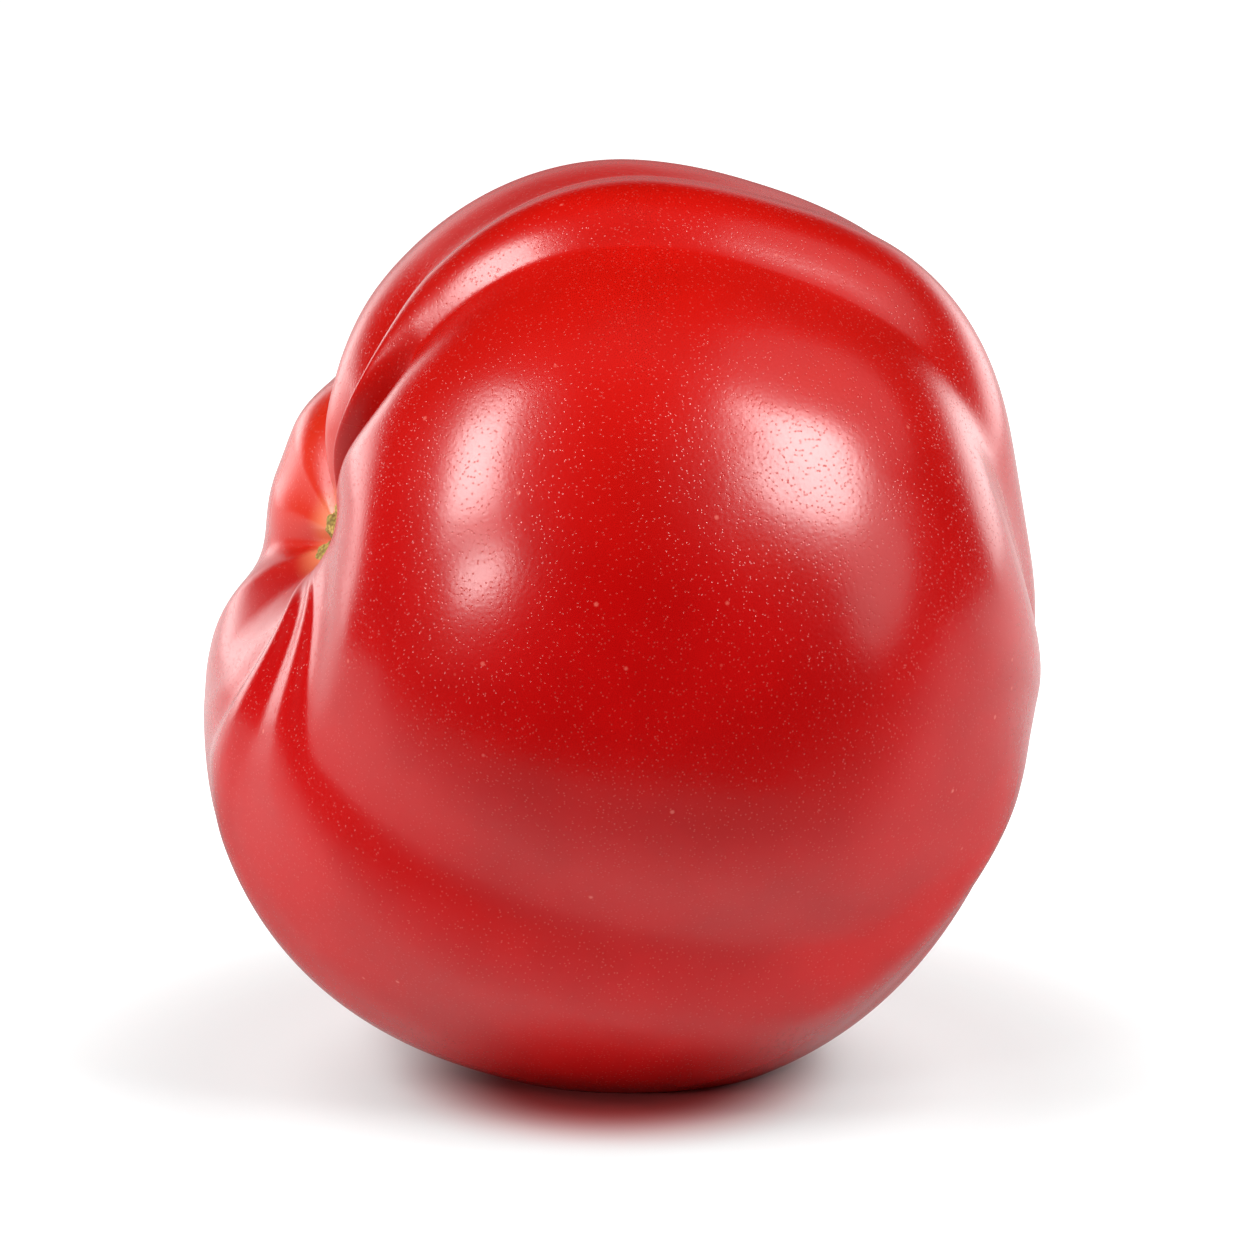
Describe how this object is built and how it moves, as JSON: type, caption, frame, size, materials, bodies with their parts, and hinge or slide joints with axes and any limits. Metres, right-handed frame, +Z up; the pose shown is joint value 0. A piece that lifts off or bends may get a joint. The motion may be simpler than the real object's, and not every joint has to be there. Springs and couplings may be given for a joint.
{
  "type": "beefsteak tomato",
  "caption": "Whole ribbed red beefsteak tomato without its calyx, lying on its side, with deep creases from the stem cavity to the blossom scar.",
  "frame": {"origin": "on the surface that the fruit rests on, under the middle of its box", "axes": "+Z up as the fruit lies; +X from the stem end to the blossom end; -Y is the side of the big front lobe"},
  "size_m": [0.0826, 0.0914, 0.0896],
  "materials": {
    "skin": "glossy waxy tomato skin"
  },
  "bodies": {
    "root": {"fruit": "skin"}
  },
  "joints": []
}
